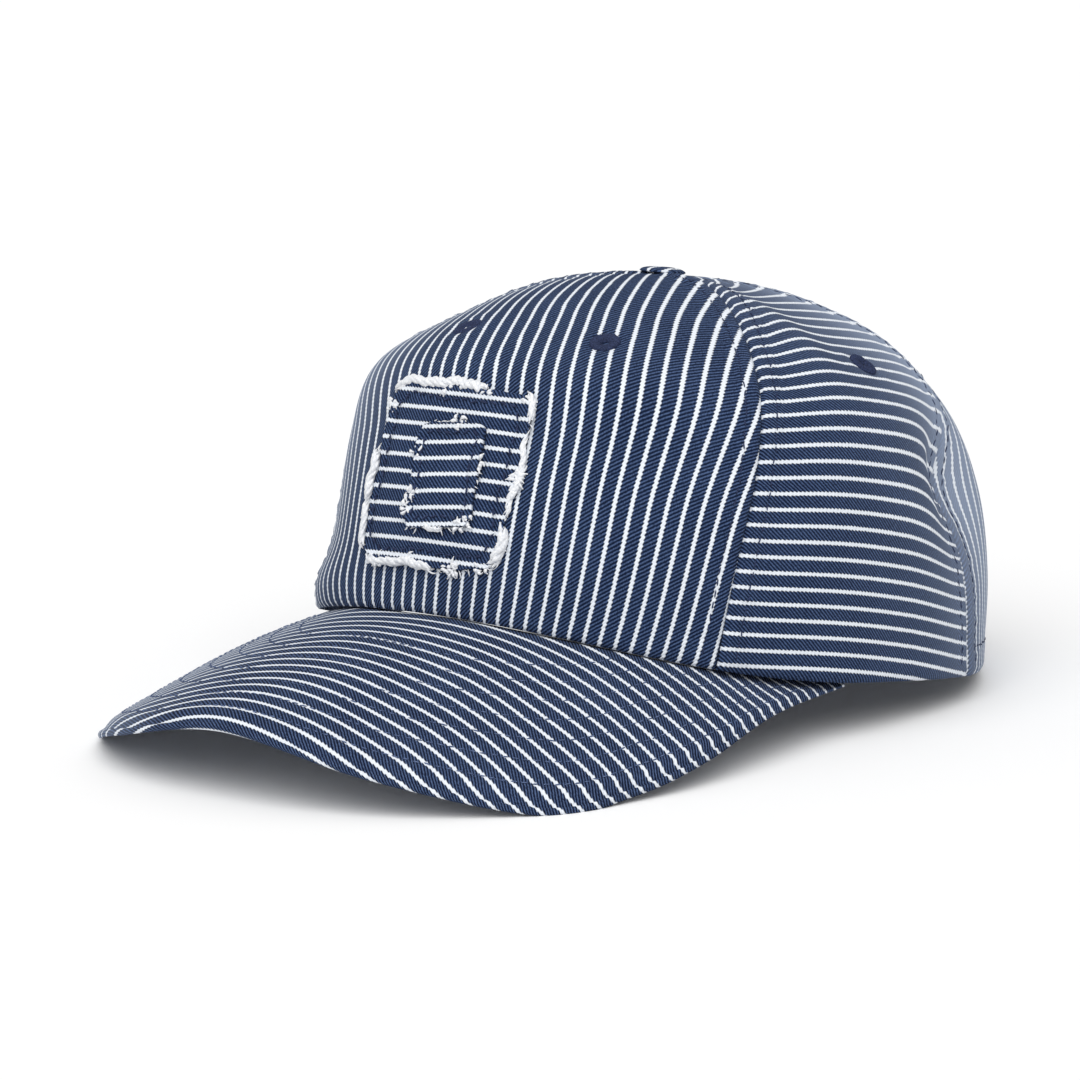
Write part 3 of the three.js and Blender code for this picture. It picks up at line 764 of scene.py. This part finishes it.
peakRim = {
    "side": [0, 0.498, 0.873, 0.973, 0.998, 0.952, 0.88],
    "forward": [1, 0.952, 0.794, 0.647, 0.508, 0.336, 0.12],
    "drop": [0.546, 0.8, 1, 0.81, 0.523, 0.2, 0.012],
}
peak = {
    "reach": 76, "halfWidth": 83, "drop": 26, "bulge": 0.33, "thickness": 3.2, "endThickness": 1.4,
    "tuck": 9.5, "endDegrees": 79, "gap": 0.3, "columns": 260, "topRows": 70, "underRows": 30,
    "edgeRoll": 5, "edgeDrop": 1.5, "stripeStart": -168.7,
}


def peakInner(share):
    point = crownSkin(share * math.radians(peak["endDegrees"]), np.zeros_like(share))
    flat = point[:, :2]
    length = np.linalg.norm(flat, axis=-1)
    wall = crown["wall"]
    tuck = wall + (peak["tuck"] - wall) * easeBetween(0.5, 1, np.abs(share))
    return np.concatenate([flat * ((length - tuck) / length)[:, None], point[:, 2:] - peak["gap"]], -1)


def peakOuter(share):
    place = np.abs(share)
    side = np.sign(share) * peak["halfWidth"] * readRows(peakRim["side"], place, -1, 0)
    forward = -(crown["front"] + peak["reach"]) * readRows(peakRim["forward"], place, 1, 0)
    return np.stack([side, forward, -peak["drop"] * readRows(peakRim["drop"], place, 1, 0)], -1)


share = np.linspace(-1, 1, peak["columns"])
inner = peakInner(share)
outer = peakOuter(share)
thick = peak["thickness"] + (peak["endThickness"] - peak["thickness"]) * easeBetween(0.6, 1, np.abs(share))
part = 1 - (1 - np.linspace(0, 1, peak["topRows"])) ** 1.5
top = inner[None] * (1 - part[:, None, None]) + outer[None] * part[:, None, None]
top[..., 2] += (inner[:, 2] - outer[:, 2])[None] * peak["bulge"] * (part * (1 - part))[:, None]
fromCrown = alongGrid(top, 0)
fromEdge = fromCrown[-1:] - fromCrown
under = top[np.linspace(0, peak["topRows"] - 1, peak["underRows"]).astype(int)].copy()
under[..., 2] -= thick[None]
roll = np.clip(1 - fromEdge / peak["edgeRoll"], 0, 1)
room = (thick / peak["thickness"])[None]
stitchGrooves = 0
peakRows = [6.5 + 8.5 * row for row in range(7)]
for distance in peakRows:
    stitchGrooves = stitchGrooves - 0.12 * np.exp(-((fromEdge - distance) / 0.6) ** 2)
ripple = 0.12 * np.sin(top[..., 0] / 6.3 + 0.7 * np.sin(top[..., 1] / 9)) * np.sin(top[..., 1] / 8.1)
lift = stitchGrooves + ripple - peak["edgeDrop"] * roll ** 2
topOut = gridNormals(top)
topOut *= np.sign(topOut[..., 2:])
upper = top + topOut * (lift * room)[..., None]
nose = outer - inner
nose[:, 2] = 0
nose = unit(nose)
turnSteps = np.linspace(0, 1, 9)[1:-1]
edge = []
for step in turnSteps:
    angle = np.pi * step
    high = upper[-1]
    low = under[-1]
    middle = (high + low) / 2
    half = (high[:, 2] - low[:, 2]) / 2
    ring = middle + nose * (half * 0.9 * math.sin(angle))[:, None]
    ring[:, 2] = middle[:, 2] + half * math.cos(angle)
    edge.append(ring)
section = np.concatenate([upper, np.array(edge), under[::-1]])
rows, columns = section.shape[:2]
faces = gridFaces(columns, rows, 0, True)
points = section.transpose(1, 0, 2)
ends = []
for column, order in ((0, -1), (columns - 1, 1)):
    ring = column * rows + np.arange(rows)
    half = rows // 2
    for place in range(half - 1):
        quad = [ring[place], ring[place + 1], ring[rows - 2 - place], ring[rows - 1 - place]]
        ends.append(quad[::order])
faces = np.concatenate([faces, np.array(ends)])
overEdge = alongGrid(section[len(top) - 8:len(top) + len(edge) + 1], 0)
fallen = np.zeros(section.shape[:2])
fallen[len(top) - 8:len(top) + len(edge) + 1] = overEdge
fallen[len(top) + len(edge):] = overEdge[-1:]
planReach = np.linalg.norm((section - section[len(top) - 8])[..., :2], axis=-1)
planReach[:len(top) - 8] = 0
planReach[len(top) + len(edge):] = planReach[len(top) + len(edge)]
extra = (fallen - planReach * np.sign(fallen)) * (fallen > 0)
peakMap = np.stack([
    -section[..., 1] + peak["stripeStart"] - extra * nose[None, :, 1],
    section[..., 0] + extra * nose[None, :, 0]], -1).transpose(1, 0, 2).reshape(-1, 2)
# The peak's cloth is painted paler towards its -x end.
peakPiece = buildMesh("peak_cloth", points.reshape(-1, 3), faces, [peakDenim], peakMap,
                      0.8 * easeBetween(15, 80, -points.reshape(-1, 3)[:, 0]))
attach(peakPiece, "root")
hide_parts("peak")
for distance in peakRows:
    inside = fromCrown[-1] > distance + 3
    line = railAt(upper.transpose(1, 0, 2), fromEdge.T, distance)[inside]
    addStitches("peak", line, railAt(topOut.transpose(1, 0, 2), fromEdge.T, distance)[inside], 2.6, 2)
print("built peak", section.shape)


# Eyelets, button, strap and buckle

# A round piece from a profile of radius and height, on the crown at a place, facing outwards.
def lathePiece(name, radius, height, segments, ridges, depth, middle, out, materials, closed):
    angle = np.linspace(0, 2 * np.pi, segments, endpoint=False)
    bump = depth * np.abs(np.sin(angle * ridges / 2))[:, None]
    rim = easeBetween(0, 0.5, height / (np.max(height) + 1e-9))
    away = radius[None] + bump * rim[None] * 0.5
    up = height[None] + bump * rim[None]
    side = unit(np.cross([0, 0, 1] if abs(out[2]) < 0.95 else [0, 1, 0], out))
    upward = np.cross(out, side)
    east = away * np.cos(angle)[:, None]
    north = away * np.sin(angle)[:, None]
    flat = east[..., None] * side + north[..., None] * upward
    points = (middle + flat + up[..., None] * out).transpose(1, 0, 2)
    rows, columns = points.shape[:2]
    faces = gridFaces(rows, columns, 0, True)
    if closed:
        last = (rows - 1) * columns + np.arange(columns)
        first = np.arange(columns)
        faces = np.concatenate([faces, np.stack([last, np.roll(last, -1), np.roll(first, -1), first], -1)])
    uv = np.stack([east, north], -1).transpose(1, 0, 2).reshape(-1, 2)
    return buildMesh(name, points.reshape(-1, 3), faces, materials, uv, np.zeros(rows * columns))


eyeletProfile = {
    "radius": [3.9, 3.95, 3.7, 3.1, 2.4, 1.7, 1.1, 0.8, 0.85],
    "height": [-0.6, -0.1, 0.2, 0.42, 0.45, 0.3, 0.0, -0.5, -0.9],
}
for eyelet in eyelets:
    for label, sign in (("left", 1), ("right", -1)):
        azimuth = np.array(sign * math.radians(eyelet["azimuth"]))
        rise = np.array(eyelet["rise"])
        middle = crownPoint(azimuth, rise, np.array(-0.1))
        node = "eyelet_" + eyelet["name"] + "_" + label
        ring = lathePiece(
            node + "_thread", np.array(eyeletProfile["radius"]), np.array(eyeletProfile["height"]),
            132, 44, 0.28, middle, crownNormal(azimuth, rise), [navyThread], True)
        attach(ring, "root")
        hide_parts(node)

button = {"radius": 6, "height": 1.5, "forward": 1.5}
arc = np.linspace(0, np.pi / 2, 16)
radius = np.r_[0.3, button["radius"] * 0.9, button["radius"] * np.cos(arc)[:-1] ** 0.8, 0.02]
height = np.r_[0, 0, 0.25 + (button["height"] - 0.25) * np.sin(arc)[:-1], button["height"]]
crest = crownPoint(np.array(0.0), np.array(panelTop))
crest[1] = -crown["topForward"] - button["forward"]
crest[2] += 0.3
dome = lathePiece(
    "top_button_cloth", radius, height, 72, 9, 0.1, crest, np.array([0.0, 0.0, 1.0]), [hickoryDenim], False)
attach(dome, "root")
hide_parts("top_button")

strap = {"width": 17, "thickness": 2, "lift": 5, "overlap": 14, "depth": 1.8, "rows": 40, "columns": 140}
backTurn = (opening["halfWidth"] + strap["overlap"]) / crown["halfWidth"]
s = np.linspace(0, 1, strap["columns"])
t = closerShares(strap["rows"], 0.5)
azimuth = np.pi + (s[None] - 0.5) * 2 * backTurn + 0 * t[:, None]
rise = riseAtHeight(strap["lift"] + t * strap["width"])[:, None] + 0 * s[None]
low = np.abs(t[:, None] - 0.5) * strap["width"]
edgeFall = -0.35 * np.exp(-((strap["width"] / 2 - low) / 0.7) ** 2)
stitchLine = -0.22 * np.exp(-((strap["width"] / 2 - low - 2.4) / 0.5) ** 2)
face = crownPoint(azimuth, rise, edgeFall + stitchLine - strap["depth"])
backFace = crownPoint(azimuth, rise, -edgeFall - strap["depth"] - strap["thickness"])
uv = np.stack([t[:, None] * strap["width"] + 0 * azimuth, s[None] * 2 * backTurn * 80 + 0 * azimuth], -1)
strapPiece = closedSheet("back_strap_cloth", face, backFace, [hickoryDenim], uv)
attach(strapPiece, "root")
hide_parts("back_strap")
strapOut = gridNormals(face)
for place in (2.4 / strap["width"], 1 - 2.4 / strap["width"]):
    row = int(np.argmin(np.abs(t - place)))
    addStitches("strap", face[row], strapOut[row], 2.6, 12)

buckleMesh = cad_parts["strap_buckle"].data.copy()
buckle = bpy.data.objects.new("strap_buckle_loop", buckleMesh)
bpy.context.scene.collection.objects.link(buckle)
buckleMesh.materials.clear()
buckleMesh.materials.append(steel)
rounded = buckle.modifiers.new("rounded", "BEVEL")
rounded.width = 0.0004
rounded.segments = 3
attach(buckle, "root")
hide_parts("strap_buckle")
print("built eyelets, button, strap and buckle")


# The patches

# Sizes in millimetres on the cloth. The turn is in degrees.
patch = {
    "width": 48, "height": 46, "side": -7, "climb": 35, "over": 0.3, "wall": 1, "turn": 0,
    "squareness": 7,
}
innerPatch = {
    "width": 21, "height": 27, "side": -4, "climb": 35, "over": 1.6, "wall": 1, "turn": 6,
    "squareness": 9,
}


def patchPoint(look, across, up, over):
    turn = math.radians(look["turn"])
    side = look["side"] + across * math.cos(turn) - up * math.sin(turn)
    climb = look["climb"] + across * math.sin(turn) + up * math.cos(turn)
    rise = np.interp(climb, middleClimb, riseSteps)
    width = crown["halfWidth"] * sectionAt("width", rise)
    azimuth = np.arcsin(signedPower(side / width, crown["frontPower"] / 2))
    return crownPoint(azimuth, rise, over), crownNormal(azimuth, rise)


# The patch's outline at an angle, between a square and a circle, uneven as torn cloth is.
def patchRim(look, angle, shift):
    power = look["squareness"]
    reach = (np.abs(np.cos(angle)) ** power + np.abs(np.sin(angle)) ** power) ** (-1 / power)
    torn = 1 + 0.012 * np.sin(angle * 9 + shift) + 0.01 * np.sin(angle * 23 + 2 * shift)
    away = reach * torn / 2
    return away * np.cos(angle) * look["width"], away * np.sin(angle) * look["height"]


def buildPatch(name, node, look, shift):
    rings = 60
    spokes = 240
    angle = np.linspace(0, 2 * np.pi, spokes, endpoint=False)
    x, y = patchRim(look, angle, shift)
    part = 1 - (1 - np.linspace(0.004, 1, rings)) ** 1.4
    across = part[:, None] * x[None]
    up = part[:, None] * y[None]
    fromRim = (1 - part)[:, None] * np.hypot(x, y)[None]
    curl = 0.5 * np.exp(-(fromRim / 1.6) ** 2) * (0.6 + 0.4 * wave(angle * 20, shift)[None])
    press = -0.3 * np.exp(-((fromRim - 3.6) / 0.7) ** 2)
    quilt = 0.16 * np.sin(across / 2.9 + shift) * np.sin(up / 3.7 + 1.3 * shift)
    over = look["over"] + look["wall"] - 0.25 + curl + press + quilt
    outer, _ = patchPoint(look, across, up, over)
    inner, _ = patchPoint(look, across, up, np.full_like(over, look["over"] - 0.1))
    faces = gridFaces(rings, spokes, 0, True)
    half = rings * spokes
    last = (rings - 1) * spokes + np.arange(spokes)
    beside = np.roll(last, -1)
    first = np.arange(spokes)
    rim = np.stack([last, beside, beside + half, last + half], -1)
    hole = np.stack([first + half, np.roll(first, -1) + half, np.roll(first, -1), first], -1)
    allFaces = np.concatenate([faces[:, ::-1], faces + half, rim[:, ::-1], hole[:, ::-1]])
    cloth = np.stack([up, -across], -1).reshape(-1, 2)
    points = np.concatenate([outer.reshape(-1, 3), inner.reshape(-1, 3)])
    both = np.concatenate([cloth, cloth])
    piece = buildMesh(name, points, allFaces, [patchDenim], both, np.zeros(2 * half))
    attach(piece, "root")
    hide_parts(node)
    return piece


# A line of yarn on a patch, from places across and up it and heights over the panel.
def yarnOn(look, across, up, over, thickness, lines, radii):
    line, _ = patchPoint(look, across, up, np.maximum(over, look["over"] + 0.1))
    ends = np.minimum(np.arange(len(line)), np.arange(len(line))[::-1])
    lines.append(line)
    radii.append(np.clip(ends / 3, 0.35, 1) * thickness)


# White yarns that came out of the cloth: soft twisted ropes along the rim, tangled tufts and loose ends.
def frayLines(look, shift, ropes, tufts, hairs, lift):
    lines = []
    radii = []
    for rope in ropes:
        size = rope["size"]
        for strand in range(8):
            thick = strand < 4
            first = rope["start"] + chance.uniform(-0.03, 0.03)
            length = rope["length"] * chance.uniform(0.85, 1.0)
            angle = np.linspace(first, first + length, max(int(length * 60), 8))
            x, y = patchRim(look, angle, shift)
            twist = angle * 17 + strand * 1.6
            loose = 0.45 if thick else 0.9
            out = rope["out"] + size * loose * np.sin(twist) + 0.35 * np.sin(angle * 8 + shift)
            scale = 1 + out / np.hypot(x, y)
            over = look["over"] + lift + rope.get("high", 0) + size * 0.35 * np.cos(twist)
            thickness = size * chance.uniform(0.5, 0.62) if thick else chance.uniform(0.16, 0.26)
            yarnOn(look, x * scale, y * scale, over, thickness, lines, radii)
    for tuft in range(tufts):
        angle = chance.uniform(0, 2 * np.pi)
        x, y = patchRim(look, np.array([angle]), shift)
        for strand in range(5):
            heading = chance.uniform(0, 2 * np.pi)
            steps = np.linspace(0, chance.uniform(1.4, 3.0), 8)
            bend = heading + chance.normal(0, 0.8) * steps
            across = x[0] + np.cumsum(np.cos(bend)) * steps[1] + chance.normal(0, 0.3)
            up = y[0] + np.cumsum(np.sin(bend)) * steps[1] + chance.normal(0, 0.3)
            over = look["over"] + lift + chance.uniform(0, 0.5) * np.sin(steps / steps[-1] * np.pi)
            yarnOn(look, across, up, over, chance.uniform(0.35, 0.62), lines, radii)
    for hair in range(hairs):
        angle = chance.uniform(0, 2 * np.pi)
        x, y = patchRim(look, np.array([angle]), shift)
        heading = np.arctan2(y, x)[0] + chance.normal(0, 0.9)
        steps = np.linspace(0, chance.uniform(0.8, 2.6), 8)
        bend = heading + chance.normal(0, 0.5) * steps
        across = x[0] + np.cumsum(np.cos(bend)) * steps[1] - 0.6 * math.cos(heading)
        up = y[0] + np.cumsum(np.sin(bend)) * steps[1] - 0.6 * math.sin(heading)
        over = look["over"] + lift - 0.15 * steps
        yarnOn(look, across, up, over, chance.uniform(0.14, 0.24), lines, radii)
    return lines, radii


def patchStitches(look, shift, inset, over):
    angle = np.linspace(0, 2 * np.pi, 400)
    x, y = patchRim(look, angle, shift)
    scale = 1 - inset / np.hypot(x, y)
    line, out = patchPoint(look, x * scale, y * scale, np.full_like(angle, over))
    addStitches("patch", line, out, 3.1, 0, 0.35)


buildPatch("front_patch_cloth", "front_patch", patch, 0.7)
buildPatch("front_patch_inner_cloth", "front_patch_inner", innerPatch, 2.1)
patchStitches(patch, 0.7, 3.6, 1.1)
patchStitches(innerPatch, 2.1, 2.6, 2.4)
outerRopes = [
    {"start": 1.25, "length": 1.2, "size": 1.5, "out": 0.4},
    {"start": 2.95, "length": 0.55, "size": 1.2, "out": -0.5, "high": 1.2},
    {"start": 3.5, "length": 0.45, "size": 1.0, "out": -0.7, "high": 1.0},
    {"start": 4.0, "length": 0.95, "size": 1.25, "out": 0.0},
    {"start": 5.5, "length": 0.35, "size": 1.6, "out": -0.3},
    {"start": 5.95, "length": 0.85, "size": 0.85, "out": 0.2},
    {"start": 0.62, "length": 0.22, "size": 1.1, "out": 0.6},
]
lines, radii = frayLines(patch, 0.7, outerRopes, 24, 40, 0.6)
buildYarns("patch_fray", lines, radii, frayedCotton)
innerRopes = [
    {"start": 4.35, "length": 0.6, "size": 0.7, "out": 0.1},
]
lines, radii = frayLines(innerPatch, 2.1, innerRopes, 10, 24, 0.6)
buildYarns("inner_patch_fray", lines, radii, frayedCotton)

buildStitches("seam_stitches", "seam", (2.1, 0.42, 0.3), navyThread)
buildStitches("peak_stitches", "peak", (2.0, 0.42, 0.3), fadedThread)
buildStitches("strap_stitches", "strap", (2.0, 0.5, 0.36), navyThread)
buildStitches("patch_stitches", "patch", (2.4, 0.6, 0.5), navyThread)
print("built patches and stitches")


# Floor, light and camera

floorMesh = bpy.data.meshes.new("studioFloor")
floorMesh.from_pydata([(-6, -6, 0), (6, -6, 0), (6, 6, 0), (-6, 6, 0)], [], [(0, 1, 2, 3)])
floor = bpy.data.objects.new("studioFloor", floorMesh)
bpy.context.scene.collection.objects.link(floor)
matt = bpy.data.materials.new("mattWhite")
matt.use_nodes = True
matt.node_tree.nodes["Principled BSDF"].inputs["Base Color"].default_value = colour("#f9f9f9")
matt.node_tree.nodes["Principled BSDF"].inputs["Roughness"].default_value = 0.95
matt.node_tree.nodes["Principled BSDF"].inputs["Emission Color"].default_value = (1, 1, 1, 1)
matt.node_tree.nodes["Principled BSDF"].inputs["Emission Strength"].default_value = 0.02
matt.node_tree.nodes["Principled BSDF"].inputs["Specular IOR Level"].default_value = 0.0
floorMesh.materials.append(matt)

world = bpy.data.worlds.new("paleStudio")
bpy.context.scene.world = world
world.use_nodes = True
world.node_tree.nodes["Background"].inputs["Color"].default_value = (1, 1, 1, 1)
world.node_tree.nodes["Background"].inputs["Strength"].default_value = 0.5

softSun = bpy.data.lights.new("softSun", "SUN")
softSun.energy = 2.15
softSun.angle = math.radians(75)
sun = bpy.data.objects.new("softSun", softSun)
sun.rotation_euler = Vector((-0.35, 0.6, -1.0)).to_track_quat("-Z", "Y").to_euler()
bpy.context.scene.collection.objects.link(sun)

cameraData = bpy.data.cameras.new("photoCamera")
cameraData.lens = 177.67
cameraData.sensor_width = 36
cameraData.clip_end = 20
camera = bpy.data.objects.new("photoCamera", cameraData)
right = Vector((0.766044, 0.642703, -0.010430))
upward = Vector((-0.105648, 0.141896, 0.984228))
backward = Vector((0.634046, -0.752860, 0.176599))
turn = Matrix((right, upward, backward)).transposed().to_4x4()
camera.matrix_world = Matrix.Translation((0.859118, -1.031505, 0.285)) @ turn
bpy.context.scene.collection.objects.link(camera)
bpy.context.scene.camera = camera
bpy.context.scene.view_settings.view_transform = "Standard"
